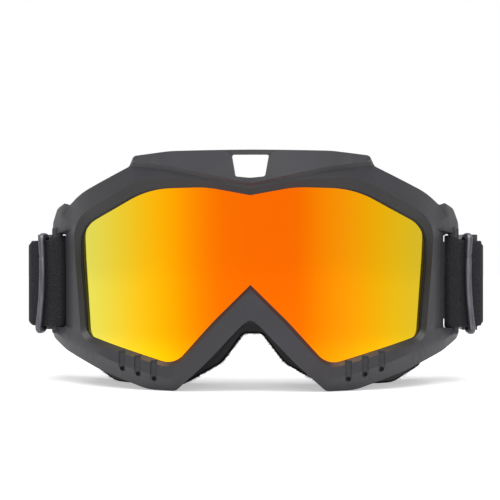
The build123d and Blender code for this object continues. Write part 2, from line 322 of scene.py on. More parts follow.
def apply(obj, kind, **settings):
    """Adds one modifier with its settings and applies it."""
    only(obj)
    modifier = obj.modifiers.new(kind.title(), kind)
    for key, value in settings.items():
        setattr(modifier, key, value)
    bpy.ops.object.modifier_apply(modifier=modifier.name)


def boolean(obj, other, operation):
    apply(obj, "BOOLEAN", object=other, operation=operation, solver="EXACT")
    bpy.data.objects.remove(other)
    edit(obj, drop_slivers, flat_faces)


def join(first, *others):
    only(first)
    for other in others:
        other.select_set(True)
    bpy.ops.object.join()
    return first


def flat_surface(name, outer, holes=(), lines=()):
    """A sheet in (x, depth, z) over an outline, folded along the lines."""
    points, edges, rings = [], [], []

    def chain(line, closed):
        first = len(points)
        points.extend(line)
        rings.extend([first if closed else -1] * len(line))
        last = len(points) - 1
        edges.extend((k, k + 1) for k in range(first, last))
        if closed:
            edges.append((last, first))

    for loop in (outer, *holes):
        chain(loop, True)
    for line in lines:
        chain(line, False)
    flat = [Vector(p[:2]) for p in points]
    verts, _, faces, origins, _, _ = delaunay_2d_cdt(flat, edges, [], 0, 1e-4)
    depths = []
    for v, origin in zip(verts, origins):
        source = origin[0] if origin else min(range(len(flat)), key=lambda k: (flat[k] - v).length)
        depths.append(points[source][2])
    ring_of = [rings[origin[0]] if origin else -1 for origin in origins]
    kept = []
    for face in faces:
        a, b, c = (verts[i] for i in face)
        height = abs((b - a).cross(c - a)) / max((b - a).length, (c - b).length, (a - c).length)
        on_edge = ring_of[face[0]] >= 0 and len({ring_of[i] for i in face}) == 1
        if height < 0.004 and on_edge:
            continue
        cx, cz = (a.x + b.x + c.x) / 3, (a.y + b.y + c.y) / 3
        if holds(outer, cx, cz) and not any(holds(hole, cx, cz) for hole in holes):
            kept.append(face)
    return new_object(name, [(v.x, d, v.y) for v, d in zip(verts, depths)], kept)


SLICE = 3.0
FAR_BACK = 200.0


def solid_plate(name, outer, front, back, holes=(), lines=()):
    """A closed plate over an outline. front(x, depth) and back(x) give its two faces in Y."""
    obj = flat_surface(name, outer, holes, lines)
    reach = max(p[0] for p in outer)
    count = int(reach // SLICE)

    def slice_up():
        for k in range(-count, count + 1):
            bpy.ops.mesh.select_all(action="SELECT")
            bpy.ops.mesh.bisect(plane_co=(k * SLICE + 0.01, 0, 0), plane_no=(1, 0, 0))

    def pull_back():
        bpy.ops.mesh.select_all(action="SELECT")
        bpy.ops.mesh.extrude_region_move(TRANSFORM_OT_translate={"value": (0, FAR_BACK, 0)})

    edit(obj, merge_doubles, slice_up, pull_back)
    for vertex in obj.data.vertices:
        co = vertex.co
        co.y = back(co.x) if co.y > FAR_BACK / 2 else front(co.x, co.y)
    edit(obj, flat_faces, face_out)
    return obj


def grid(name, rows, columns, place, closed_rows=False, closed_columns=False):
    """A grid primitive laid through place(row, column), its closed sides merged."""
    row_steps = rows if closed_rows else rows - 1
    column_steps = columns if closed_columns else columns - 1
    bpy.ops.mesh.primitive_grid_add(x_subdivisions=column_steps, y_subdivisions=row_steps, size=1)
    obj = bpy.context.object
    obj.name = obj.data.name = name
    width = column_steps + 1
    for index, vertex in enumerate(obj.data.vertices):
        vertex.co = place((index // width) % rows, (index % width) % columns)
    edit(obj, merge_doubles, face_out)
    return obj


def block(name, low, high):
    """A cube primitive between two corners."""
    low, high = Vector(low), Vector(high)
    bpy.ops.mesh.primitive_cube_add(size=1, location=(low + high) / 2, scale=high - low)
    obj = bpy.context.object
    obj.name = name
    bpy.ops.object.transform_apply(location=True, rotation=True, scale=True)
    return obj


def finish_piece(obj, body, material, replaced=(), smooth=None):
    """To metres, with its finish, and riding on its body."""
    only(obj)
    if smooth is not None:
        bpy.ops.object.shade_smooth_by_angle(angle=math.radians(smooth))
    for vertex in obj.data.vertices:
        vertex.co *= MM
    obj.data.materials.clear()
    obj.data.materials.append(material)
    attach(obj, body)
    if replaced:
        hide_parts(*replaced)
    obj.select_set(False)
    return obj


# ---------------------------------------------------------------- camera and light

def aim(obj, target):
    direction = Vector(target) - obj.location
    obj.rotation_euler = direction.to_track_quat("-Z", "Y").to_euler()


def camera():
    data = bpy.data.cameras.new("camera")
    obj = bpy.data.objects.new("camera", data)
    bpy.context.scene.collection.objects.link(obj)
    target = Vector((0, FRONT_Y * MM, 0.0631))
    angle = math.radians(2.0)
    obj.location = target + 0.700 * Vector((math.sin(angle), -math.cos(angle), 0))
    data.lens = 114.5
    data.sensor_width = 36.0
    aim(obj, target)
    bpy.context.scene.camera = obj


def area_light(name, place, target, size, power):
    data = bpy.data.lights.new(name, "AREA")
    data.shape = "RECTANGLE"
    data.size, data.size_y = size
    data.energy = power
    obj = bpy.data.objects.new(name, data)
    bpy.context.scene.collection.objects.link(obj)
    obj.location = place
    aim(obj, target)


def studio():
    bpy.ops.mesh.primitive_plane_add(size=6.0, location=(0, 0, -0.0002))
    floor = bpy.context.object
    floor.name = "floor"
    bpy.ops.object.transform_apply(location=True, rotation=True, scale=True)
    floor.data.materials.append(floor_paper())
    world = bpy.data.worlds.new("soft_white_room")
    bpy.context.scene.world = world
    world.use_nodes = True
    tree = world.node_tree
    background = tree.nodes["Background"]
    background.inputs["Color"].default_value = (1, 1, 1, 1)
    ray = add(tree, "LightPath")
    strength = add(tree, "MapRange", [(ray.outputs["Is Diffuse Ray"], "Value")])
    strength.inputs["To Min"].default_value = 1.0
    strength.inputs["To Max"].default_value = 0.22
    tree.links.new(strength.outputs["Result"], background.inputs["Strength"])
    centre = (0, 0, 0.05)
    area_light("overhead_softbox", (0, -0.35, 1.0), centre, (1.2, 0.8), 13.0)
    area_light("front_softbox", (0.1, -1.15, 0.5), centre, (0.5, 0.5), 3.0)
    bpy.context.scene.view_settings.view_transform = "Standard"


# ---------------------------------------------------------------- materials

def srgb(text):
    """An sRGB hex colour as linear red, green, blue and alpha."""
    channels = [int(text[i:i + 2], 16) / 255 for i in (1, 3, 5)]
    return tuple(c / 12.92 if c <= 0.04045 else ((c + 0.055) / 1.055) ** 2.4 for c in channels) + (1.0,)


def add(tree, kind, links=(), **settings):
    """Adds one node: settings whose name is a socket set that socket, others set the node, and links
    join (output socket, input name) pairs."""
    node = tree.nodes.new("ShaderNode" + kind)
    for key, value in settings.items():
        name = key.replace("_", " ")
        if hasattr(node, key):
            setattr(node, key, value)
        else:
            node.inputs[name].default_value = value
    for output, name in links:
        tree.links.new(output, node.inputs[name])
    return node


def material(name, **shader):
    """A material with its Principled shader's constant values set."""
    made = bpy.data.materials.new(name)
    made.use_nodes = True
    node = made.node_tree.nodes["Principled BSDF"]
    for key, value in shader.items():
        node.inputs[key.replace("_", " ")].default_value = value
    return made, made.node_tree, node


def ramp_stops(ramp, stops, interpolation="LINEAR"):
    ramp.color_ramp.interpolation = interpolation
    elements = ramp.color_ramp.elements
    while len(elements) > 1:
        elements.remove(elements[-1])
    for k, (place, colour) in enumerate(stops):
        element = elements[0] if k == 0 else elements.new(place)
        element.position = place
        element.color = srgb(colour) if isinstance(colour, str) else (colour, colour, colour, 1.0)


def floor_paper():
    # Coated white paper sweep, calendered: an even matt white with the faintest tooth
    made, tree, shader = material("coated_paper_sweep", Roughness=0.75, IOR=1.45)
    place = add(tree, "TexCoord").outputs["Object"]
    tooth = add(tree, "TexNoise", [(place, "Vector")], Scale=1 / (3 * MM), Detail=2.0)
    colour = add(tree, "ValToRGB", [(tooth.outputs["Fac"], "Fac")])
    ramp_stops(colour, [(0.3, "#f4f4f7"), (0.7, "#f8f8fb")])
    away = add(tree, "VectorMath", [(place, 0)], operation="LENGTH")
    fade = add(tree, "MapRange", [(away.outputs["Value"], "Value")])
    fade.inputs["From Min"].default_value = 0.20
    fade.inputs["From Max"].default_value = 0.55
    glow = add(tree, "MapRange", [(fade.outputs["Result"], "Value")])
    glow.inputs["To Min"].default_value = 0.46
    ground = add(tree, "Mix", [(fade.outputs["Result"], "Factor")], data_type="RGBA")
    tree.links.new(colour.outputs["Color"], ground.inputs[6])
    ground.inputs[7].default_value = (0, 0, 0, 1)
    tree.links.new(ground.outputs[2], shader.inputs["Base Color"])
    shader.inputs["Emission Color"].default_value = (1, 1, 1, 1)
    # The glow stands for a white room, so little of it comes back off the floor onto the object
    ray = add(tree, "LightPath")
    bounce = add(tree, "MapRange", [(ray.outputs["Is Diffuse Ray"], "Value")])
    bounce.inputs["To Min"].default_value = 1.0
    bounce.inputs["To Max"].default_value = 0.25
    sources = [(glow.outputs["Result"], 0), (bounce.outputs["Result"], 1)]
    lit = add(tree, "Math", sources, operation="MULTIPLY")
    tree.links.new(lit.outputs["Value"], shader.inputs["Emission Strength"])
    return made


def moulded_polyurethane():
    # Thermoplastic polyurethane, moulded on a spark-eroded tool: satin charcoal with a fine even grain
    made, tree, shader = material("spark_eroded_tpu", Roughness=0.46, IOR=1.50)
    shader.inputs["Specular IOR Level"].default_value = 0.4
    place = add(tree, "TexCoord").outputs["Object"]
    grain = add(tree, "TexNoise", [(place, "Vector")], Scale=1 / (0.45 * MM), Detail=2.0, Roughness=0.6)
    cloud = add(tree, "TexNoise", [(place, "Vector")], Scale=1 / (22 * MM), Detail=2.0, Roughness=0.5)
    bump = add(tree, "Bump", [(grain.outputs["Fac"], "Height")], Strength=0.30, Distance=0.05 * MM)
    tree.links.new(bump.outputs["Normal"], shader.inputs["Normal"])
    colour = add(tree, "ValToRGB", [(cloud.outputs["Fac"], "Fac")])
    ramp_stops(colour, [(0.30, "#26262a"), (0.70, "#2c2c31")])
    # The bevel round the lens is painted darker, as painted shade, and is left smoother on the tool
    bevel = add(tree, "Attribute", attribute_name="bevel_painted_shade_and_gloss").outputs["Fac"]
    both = add(tree, "Mix", [(bevel, "Factor")], data_type="RGBA")
    tree.links.new(colour.outputs["Color"], both.inputs[6])
    # Painted shade: the bevel's darker tone
    both.inputs[7].default_value = srgb("#18181a")
    tree.links.new(both.outputs[2], shader.inputs["Base Color"])
    gloss = add(tree, "MapRange", [(grain.outputs["Fac"], "Value")])
    gloss.inputs["To Min"].default_value = 0.42
    gloss.inputs["To Max"].default_value = 0.54
    smoother = add(tree, "Math", [(bevel, 0), (gloss.outputs["Result"], 2)], operation="MULTIPLY_ADD")
    smoother.inputs[1].default_value = -0.06
    tree.links.new(smoother.outputs["Value"], shader.inputs["Roughness"])
    return made


def mirror_polycarbonate():
    # Polycarbonate with a vacuum-deposited interference coat: a deep orange centre turning gold towards
    # the temples, smooth as glass
    made, tree, shader = material("vacuum_coated_polycarbonate", Roughness=0.08, IOR=1.58)
    coords = add(tree, "TexCoord")
    axis = add(tree, "SeparateXYZ", [(coords.outputs["Object"], "Vector")])
    across = add(tree, "MapRange", [(axis.outputs["X"], "Value")])
    across.inputs["From Min"].default_value = -80 * MM
    across.inputs["From Max"].default_value = 80 * MM
    colour = add(tree, "ValToRGB", [(across.outputs["Result"], "Fac")])
    stops = [
        (-77, "#e1da58"), (-64, "#e8d039"), (-51, "#f4c013"), (-38, "#ffaf02"), (-25, "#ff8901"),
        (-12, "#fa6d02"), (20, "#f96702"), (30, "#f88300"), (43, "#f6980a"), (54, "#eda805"),
        (66, "#e2b713"), (79, "#d3b827"),
    ]
    ramp_stops(colour, [((x + 80) / 160, c) for x, c in stops], "B_SPLINE")
    # The inner face is uncoated smoke grey: it shows where the surface looks back at the wearer
    facing = add(tree, "SeparateXYZ", [(coords.outputs["Normal"], "Vector")])
    coated = add(tree, "MapRange", [(facing.outputs["Y"], "Value")])
    coated.inputs["From Min"].default_value = 0.02
    coated.inputs["From Max"].default_value = -0.02
    both = add(tree, "Mix", [(coated.outputs["Result"], "Factor")], data_type="RGBA")
    both.inputs[6].default_value = srgb("#2b2422")
    tree.links.new(colour.outputs["Color"], both.inputs[7])
    tree.links.new(both.outputs[2], shader.inputs["Base Color"])
    tree.links.new(coated.outputs["Result"], shader.inputs["Metallic"])
    return made


def seal_rubber():
    # EPDM rubber, compression moulded: dull black that takes only a soft edge light
    made, tree, shader = material("compression_moulded_epdm", Roughness=0.72, IOR=1.50)
    place = add(tree, "TexCoord").outputs["Object"]
    grain = add(tree, "TexNoise", [(place, "Vector")], Scale=1 / (0.8 * MM), Detail=3.0)
    bump = add(tree, "Bump", [(grain.outputs["Fac"], "Height")], Strength=0.2, Distance=0.05 * MM)
    tree.links.new(bump.outputs["Normal"], shader.inputs["Normal"])
    colour = add(tree, "ValToRGB", [(grain.outputs["Fac"], "Fac")])
    ramp_stops(colour, [(0.35, "#161617"), (0.65, "#1d1d1f")])
    tree.links.new(colour.outputs["Color"], shader.inputs["Base Color"])
    return made


def skirt_urethane():
    # Soft polyurethane, moulded: matt black with slow cloudy changes where the mould was hotter
    made, tree, shader = material("soft_moulded_polyurethane", Roughness=0.6, IOR=1.50)
    place = add(tree, "TexCoord").outputs["Object"]
    grain = add(tree, "TexNoise", [(place, "Vector")], Scale=1 / (0.6 * MM), Detail=2.0)
    cloud = add(tree, "TexNoise", [(place, "Vector")], Scale=1 / (18 * MM), Detail=2.0)
    bump = add(tree, "Bump", [(grain.outputs["Fac"], "Height")], Strength=0.25, Distance=0.06 * MM)
    tree.links.new(bump.outputs["Normal"], shader.inputs["Normal"])
    colour = add(tree, "ValToRGB", [(cloud.outputs["Fac"], "Fac")])
    ramp_stops(colour, [(0.3, "#222225"), (0.7, "#2a2a2d")])
    tree.links.new(colour.outputs["Color"], shader.inputs["Base Color"])
    gloss = add(tree, "MapRange", [(cloud.outputs["Fac"], "Value")])
    gloss.inputs["To Min"].default_value = 0.52
    gloss.inputs["To Max"].default_value = 0.66
    tree.links.new(gloss.outputs["Result"], shader.inputs["Roughness"])
    return made


def open_cell_foam():
    # Polyurethane foam, cut open-cell: small dark pits between paler cell walls. Real cells are about
    # 0.5 mm; they are drawn at 0.9 mm so that they show
    made, tree, shader = material("open_cell_polyurethane_foam", Roughness=0.95, IOR=1.45)
    shader.inputs["Specular IOR Level"].default_value = 0.2
    place = add(tree, "TexCoord").outputs["Object"]
    cells = add(tree, "TexVoronoi", [(place, "Vector")], Scale=1 / (0.9 * MM))
    fine = add(tree, "TexNoise", [(place, "Vector")], Scale=1 / (0.5 * MM), Detail=2.0)
    colour = add(tree, "ValToRGB", [(cells.outputs["Distance"], "Fac")])
    ramp_stops(colour, [(0.10, "#0b0b0c"), (0.45, "#19191b"), (0.8, "#2a2a2d")])
    tree.links.new(colour.outputs["Color"], shader.inputs["Base Color"])
    height = add(tree, "Math", [(cells.outputs["Distance"], 0), (fine.outputs["Fac"], 1)], operation="ADD")
    bump = add(tree, "Bump", [(height.outputs["Value"], "Height")], Strength=0.9, Distance=0.35 * MM)
    tree.links.new(bump.outputs["Normal"], shader.inputs["Normal"])
    return made


def napped_fleece():
    # Polyester fleece, brushed: a soft black nap that catches light at glancing angles
    made, tree, shader = material("brushed_polyester_fleece", Roughness=0.9, IOR=1.45)
    shader.inputs["Specular IOR Level"].default_value = 0.25
    shader.inputs["Sheen Weight"].default_value = 0.35
    shader.inputs["Sheen Roughness"].default_value = 0.5
    place = add(tree, "TexCoord").outputs["Object"]
    clump = add(tree, "TexNoise", [(place, "Vector")], Scale=1 / (2.2 * MM), Detail=4.0, Roughness=0.7)
    fibre = add(tree, "TexNoise", [(place, "Vector")], Scale=1 / (0.4 * MM), Detail=2.0)
    colour = add(tree, "ValToRGB", [(clump.outputs["Fac"], "Fac")])
    ramp_stops(colour, [(0.3, "#111112"), (0.7, "#232325")])
    tree.links.new(colour.outputs["Color"], shader.inputs["Base Color"])
    height = add(tree, "Math", [(clump.outputs["Fac"], 0), (fibre.outputs["Fac"], 1)], operation="ADD")
    bump = add(tree, "Bump", [(height.outputs["Value"], "Height")], Strength=0.7, Distance=0.3 * MM)
    tree.links.new(bump.outputs["Normal"], shader.inputs["Normal"])
    return made


def elastic_webbing(length):
    # Polyester-covered elastic, knitted in ribs that run along it and crossed by rows of loops: soft
    # black with a faint paler rib. Rows are 1.0 mm and ribs 1.2 mm, near the coarsest such elastic
    made, tree, shader = material("knitted_polyester_elastic", Roughness=0.82, IOR=1.47)
    shader.inputs["Specular IOR Level"].default_value = 0.3
    shader.inputs["Sheen Weight"].default_value = 0.08
    shader.inputs["Sheen Roughness"].default_value = 0.45
    around = 2 * (STRAP_WIDTH + STRAP_THICK)
    flat = add(tree, "TexCoord").outputs["UV"]
    laid = add(tree, "Mapping", [(flat, "Vector")])
    laid.inputs["Scale"].default_value = (around, length, 1)
    axis = add(tree, "SeparateXYZ", [(laid.outputs["Vector"], "Vector")])
    waves = []
    for name, pitch in (("X", 1.2), ("Y", 1.0)):
        turns = add(tree, "Math", [(axis.outputs[name], 0)], operation="MULTIPLY")
        turns.inputs[1].default_value = math.tau / pitch
        waves.append(add(tree, "Math", [(turns.outputs["Value"], 0)], operation="SINE"))
    crossed = [(waves[0].outputs["Value"], 0), (waves[1].outputs["Value"], 1)]
    loops = add(tree, "Math", crossed, operation="MULTIPLY")
    place = add(tree, "TexCoord").outputs["Object"]
    fuzz = add(tree, "TexNoise", [(place, "Vector")], Scale=1 / (0.9 * MM), Detail=3.0, Roughness=0.75)
    mixed = add(tree, "MapRange", [(loops.outputs["Value"], "Value")])
    mixed.inputs["From Min"].default_value = -1.0
    mixed.inputs["To Max"].default_value = 0.35
    height = add(tree, "Math", [(mixed.outputs["Result"], 0), (fuzz.outputs["Fac"], 1)], operation="ADD")
    bump = add(tree, "Bump", [(height.outputs["Value"], "Height")], Strength=0.6, Distance=0.18 * MM)
    tree.links.new(bump.outputs["Normal"], shader.inputs["Normal"])
    colour = add(tree, "ValToRGB", [(height.outputs["Value"], "Fac")])
    ramp_stops(colour, [(0.25, "#08080a"), (0.60, "#151518"), (1.0, "#333338")])
    tree.links.new(colour.outputs["Color"], shader.inputs["Base Color"])
    return made


def printed_silicone():
    # Silicone, screen printed and cured on the webbing: smooth, slightly tacky dark beads
    made, tree, shader = material("screen_printed_silicone", Roughness=0.34, IOR=1.41)
    place = add(tree, "TexCoord").outputs["Object"]
    cloud = add(tree, "TexNoise", [(place, "Vector")], Scale=1 / (3 * MM), Detail=2.0)
    colour = add(tree, "ValToRGB", [(cloud.outputs["Fac"], "Fac")])
    ramp_stops(colour, [(0.3, "#3c3c40"), (0.7, "#48484d")])
    tree.links.new(colour.outputs["Color"], shader.inputs["Base Color"])
    bump = add(tree, "Bump", [(cloud.outputs["Fac"], "Height")], Strength=0.2, Distance=0.1 * MM)
    tree.links.new(bump.outputs["Normal"], shader.inputs["Normal"])
    return made


def phosphated_wire():
    # Steel wire, drawn, bent and phosphated: dark grey with pale streaks along the bend and rubbed spots
    made, tree, shader = material("phosphated_steel_wire", Metallic=0.85, Roughness=0.34)
    place = add(tree, "TexCoord").outputs["Object"]
    drawn = add(tree, "Mapping", [(place, "Vector")])
    drawn.inputs["Scale"].default_value = (1 / (0.8 * MM), 1 / (0.8 * MM), 1 / (9 * MM))
    along = [(drawn.outputs["Vector"], "Vector")]
    streak = add(tree, "TexNoise", along, Scale=1.0, Detail=3.0, Roughness=0.6)
    spots = add(tree, "TexNoise", [(place, "Vector")], Scale=1 / (1.6 * MM), Detail=3.0)
    colour = add(tree, "ValToRGB", [(streak.outputs["Fac"], "Fac")])
    ramp_stops(colour, [(0.3, "#47484c"), (0.7, "#6a6b70")])
    tree.links.new(colour.outputs["Color"], shader.inputs["Base Color"])
    gloss = add(tree, "MapRange", [(spots.outputs["Fac"], "Value")])
    gloss.inputs["To Min"].default_value = 0.26
    gloss.inputs["To Max"].default_value = 0.46
    tree.links.new(gloss.outputs["Result"], shader.inputs["Roughness"])
    bump = add(tree, "Bump", [(spots.outputs["Fac"], "Height")], Strength=0.25, Distance=0.08 * MM)
    tree.links.new(bump.outputs["Normal"], shader.inputs["Normal"])
    return made


def moulded_acetal():
    # Acetal, injection moulded: smooth black with a waxy half gloss
    made, tree, shader = material("injection_moulded_acetal", Roughness=0.38, IOR=1.48)
    place = add(tree, "TexCoord").outputs["Object"]
    grain = add(tree, "TexNoise", [(place, "Vector")], Scale=1 / (0.35 * MM), Detail=2.0)
    cloud = add(tree, "TexNoise", [(place, "Vector")], Scale=1 / (7 * MM), Detail=2.0)
    colour = add(tree, "ValToRGB", [(cloud.outputs["Fac"], "Fac")])
    ramp_stops(colour, [(0.3, "#1e1e20"), (0.7, "#272729")])
    tree.links.new(colour.outputs["Color"], shader.inputs["Base Color"])
    bump = add(tree, "Bump", [(grain.outputs["Fac"], "Height")], Strength=0.2, Distance=0.04 * MM)
    tree.links.new(bump.outputs["Normal"], shader.inputs["Normal"])
    return made


def polyester_thread():
    # Polyester thread, spun and twisted: charcoal with fine slanting plies
    made, tree, shader = material("spun_polyester_thread", Roughness=0.7, IOR=1.47)
    place = add(tree, "TexCoord").outputs["Object"]
    plies = add(
        tree, "TexWave", [(place, "Vector")], Scale=1 / (0.5 * MM) / 2, Distortion=1.0,
        bands_direction="DIAGONAL",
    )
    colour = add(tree, "ValToRGB", [(plies.outputs["Fac"], "Fac")])
    ramp_stops(colour, [(0.2, "#26262a"), (0.8, "#414146")])
    tree.links.new(colour.outputs["Color"], shader.inputs["Base Color"])
    bump = add(tree, "Bump", [(plies.outputs["Fac"], "Height")], Strength=0.4, Distance=0.08 * MM)
    tree.links.new(bump.outputs["Normal"], shader.inputs["Normal"])
    return made


# ---------------------------------------------------------------- front frame

SLOT_WALL_X = 89.5
SLOT_ROOF = 70.6
SLOT_ROOF_AT_WALL = 69.8
BAR_LOW, BAR_HIGH = 23.0, 74.0


def frame_back(x):
    """The front plate's back face: further back in the outriggers."""
    deeper = max(0.0, min(1.0, (abs(x) - OUTRIGGER_START) / OUTRIGGER_BLEND))
    return rim_y(x) + PLATE_DEPTH + OUTRIGGER_EXTRA * deeper


def close_slot_roof(shell):
    """Brings the back of the strap slots' roofs down to just over the strap."""
    for vertex in shell.data.vertices:
        co = vertex.co
        behind = co.y > rim_y(co.x) + 8.5
        if abs(co.x) > SLOT_WALL_X - 0.1 and behind and 70.0 < co.z < 74.0:
            co.z = SLOT_ROOF_AT_WALL if abs(co.x) < SLOT_WALL_X + 0.7 else SLOT_ROOF


def peg_grooves():
    """Cutters for the three grooves down each cheek, with a blind peg hole at each one's foot."""
    cutters = []
    for side in (1, -1):
        for x, z in PEG_PLACES:
            face = rim_y(x)
            bpy.ops.mesh.primitive_cylinder_add(
                vertices=24, radius=PEG_R, depth=8.0, location=(side * x, face + 1.7, z),
                rotation=(math.pi / 2, 0, 0),
            )
            hole = bpy.context.object
            hole.name = "peg_hole_cutter"
            bpy.ops.object.transform_apply(location=True, rotation=True, scale=True)
            near, far = side * (x - GROOVE_HALF), side * (x + GROOVE_HALF)
            low, high = z - GROOVE_HALF, z + GROOVE_TOP
            corners = [(near, high, 0.4, 0), (near, low, 1.45, 0), (far, low, 1.45, 0), (far, high, 0.4, 0)]
            groove = solid_plate(
                "groove_cutter", trace(corners, 1.0), lambda a, d, face=face: face - 3.0,
                lambda a, face=face: face + GROOVE_DEPTH,
            )
            cutters += [hole, groove]
    return cutters


def strap_bar(side):
    x = side * BAR_X
    low = (x - BAR_WIDTH / 2, BAR_Y - BAR_THICK / 2, BAR_LOW)
    high = (x + BAR_WIDTH / 2, BAR_Y + BAR_THICK / 2, BAR_HIGH)
    bar = block("strap_bar", low, high)
    apply(bar, "BEVEL", width=BAR_ROUND, segments=4)
    return bar


def mark_bevel(shell, crest):
    """Marks the faces of the bevel round the lens, inside its crest, where the finish paints shade and makes
    the surface smoother.
    """
    shade_and_gloss = shell.data.attributes.new("bevel_painted_shade_and_gloss", "FLOAT", "FACE")
    for face in shell.data.polygons:
        x, y, z = face.center
        ahead = y < rim_y(x) + 4.5
        shade_and_gloss.data[face.index].value = float(ahead and holds(crest, x, z))


def front_frame():
    """The moulded frame: a folded front plate with the lens's wall and pocket, grooves and strap bars."""
    opening = outline(LENS_OPENING)
    window = trace(whole(WINDOW), 1.5)
    crest = outline(BEVEL_CREST)
    folds = [trace(half, 2.2, closed=False) for line in FOLDS for half in both_halves(line)]
    folds.append(crest + crest[:1])
    shell = solid_plate(
        "front_frame_shell", outline(OUTER_EDGE), lambda x, d: rim_y(x) + d, frame_back,
        holes=[opening, window], lines=folds,
    )
    close_slot_roof(shell)
    wall = solid_plate(
        "lens_wall", grown(opening, LENS_LAP + EDGE_GAP + WALL), lambda x, d: rim_y(x) + 4.0,
        lambda x: rim_y(x) + WALL_DEPTH, holes=[grown(opening, 2.6)],
    )
    boolean(shell, wall, "UNION")
    pocket = solid_plate(
        "lens_pocket", grown(opening, LENS_LAP + EDGE_GAP), lambda x, d: rim_y(x, POCKET_R),
        lambda x: rim_y(x) + 30.0,
    )
    boolean(shell, pocket, "DIFFERENCE")
    for cutter in peg_grooves():
        boolean(shell, cutter, "DIFFERENCE")
    for side in (1, -1):
        boolean(shell, strap_bar(side), "UNION")
    mark_bevel(shell, crest)
    return finish_piece(shell, "goggle_body", moulded_polyurethane(), ["front_frame"], 28)


# ---------------------------------------------------------------- lens, gasket, skirt and padding

def lens():
    edge = grown(outline(LENS_OPENING), LENS_LAP)
    obj = solid_plate(
        "mirror_lens", edge, lambda x, d: rim_y(x, LENS_R), lambda x: rim_y(x, LENS_R - LENS_THICK),
    )
    return finish_piece(obj, "goggle_body", mirror_polycarbonate(), ["lens"], 30)


def lens_gasket():
    opening = outline(LENS_OPENING)
    obj = solid_plate(
        "gasket_ring", grown(opening, LENS_LAP), lambda x, d: rim_y(x, GASKET_R),
        lambda x: rim_y(x, SKIRT_R), holes=[grown(opening, 0.4)],
    )
    return finish_piece(obj, "goggle_body", seal_rubber(), ["lens_gasket"], 30)


def gap_shadow_width(x, z):
    """How much of the black band shows inside the opening, as painted shadow of the gap round the lens: a
    hair along the nose, a line at the sides.
    """
    beside = max(0.0, min(1.0, (abs(x) - 18) / 45))
    above = max(0.0, min(1.0, (z - 20) / 14))
    return 0.12 + 0.75 * beside * above


def gap_shadow_band():
    """A thin black band in the gasket's rubber, standing just ahead of the lens round the opening: painted
    shadow of the gap between lens and frame.
    """
    opening = outline(LENS_OPENING)
    inner = []
    for point, moved in zip(opening, grown(opening, -1.0, trim=False)):
        width = gap_shadow_width(point[0], point[1])
        inner.append((point[0] + (moved[0] - point[0]) * width, point[1] + (moved[1] - point[1]) * width, 0))
    # Painted shadow: a black band over the lens edge where the gap's shade falls
    obj = solid_plate(
        "gap_shadow_band", grown(opening, 0.3), lambda x, d: rim_y(x, LENS_R) - 0.3,
        lambda x: rim_y(x, LENS_R) - 0.02, holes=[inner],
    )
    return finish_piece(obj, "goggle_body", seal_rubber(), smooth=30)


MOUTH_KEYS = [(0, 92), (46.5, 91.2), (80.5, 74.3), (77.2, 23.5), (34.3, 11.5), (0, 42)]
FOAM_KEYS = [(0, 93.0), (52, 93.5), (84, 74), (81.5, 8), (33, 0), (0, 24.4)]
KEY_COUNTS = [22, 22, 24, 22, 26]


def keyed_ring(corners, amount, keys):
    """The outline moved outwards by an amount, as a ring whose points run evenly between keys, so that
    rings of different outlines pair up point by point."""
    loop = grown(outline(corners, 0.8), amount) if amount else outline(corners, 0.8)
    right = [Vector(p[:2]) for p in loop if p[0] > 0.05]
    start = max(range(len(right)), key=lambda k: (right[k] - right[k - 1]).length if k else 0)
    if right[0].y < 60:
        right = right[start:] + right[:start]
    if right[0].y < right[-1].y:
        right.reverse()
    right = [Vector((0, right[0].y))] + right + [Vector((0, right[-1].y))]
    cuts = [0]
    for key in keys[1:-1]:
        cuts.append(min(range(len(right)), key=lambda k: (right[k] - Vector(key)).length))
    cuts.append(len(right) - 1)
    half = []
    for low, high, count in zip(cuts, cuts[1:], KEY_COUNTS):
        run = right[low:high + 1]
        lengths = [0.0]
        for a, b in zip(run, run[1:]):
            lengths.append(lengths[-1] + (b - a).length)
        for k in range(count):
            goal = lengths[-1] * k / count
            i = max(j for j in range(len(run)) if lengths[j] <= goal + 1e-9)
            i = min(i, len(run) - 2)
            t = (goal - lengths[i]) / max(lengths[i + 1] - lengths[i], 1e-9)
            half.append(run[i].lerp(run[i + 1], t))
    half.append(right[-1])
    return half + [Vector((-p.x, p.y)) for p in reversed(half[1:-1])]


FLARE = 1.8
UPPER_VENTS = ((14, 24.5), (26.5, 37), (39, 49.5), (51.5, 61))
LOWER_VENTS = ((42, 52), (54.5, 65))


def skirt_depths(a, b):
    """Where the skirt's wall starts at the lens and ends in the flange, in Y."""
    return rim_y(a.x, SKIRT_R), face_y(b.x) - FLANGE_THICK / 2


def on_skirt(a, b, t):
    """A point of the flared wall between a at the lens and b at the flange."""
    near, far = skirt_depths(a, b)
    flare = t**FLARE
    return (a.x + (b.x - a.x) * flare, near + (far - near) * t, a.y + (b.y - a.y) * flare)


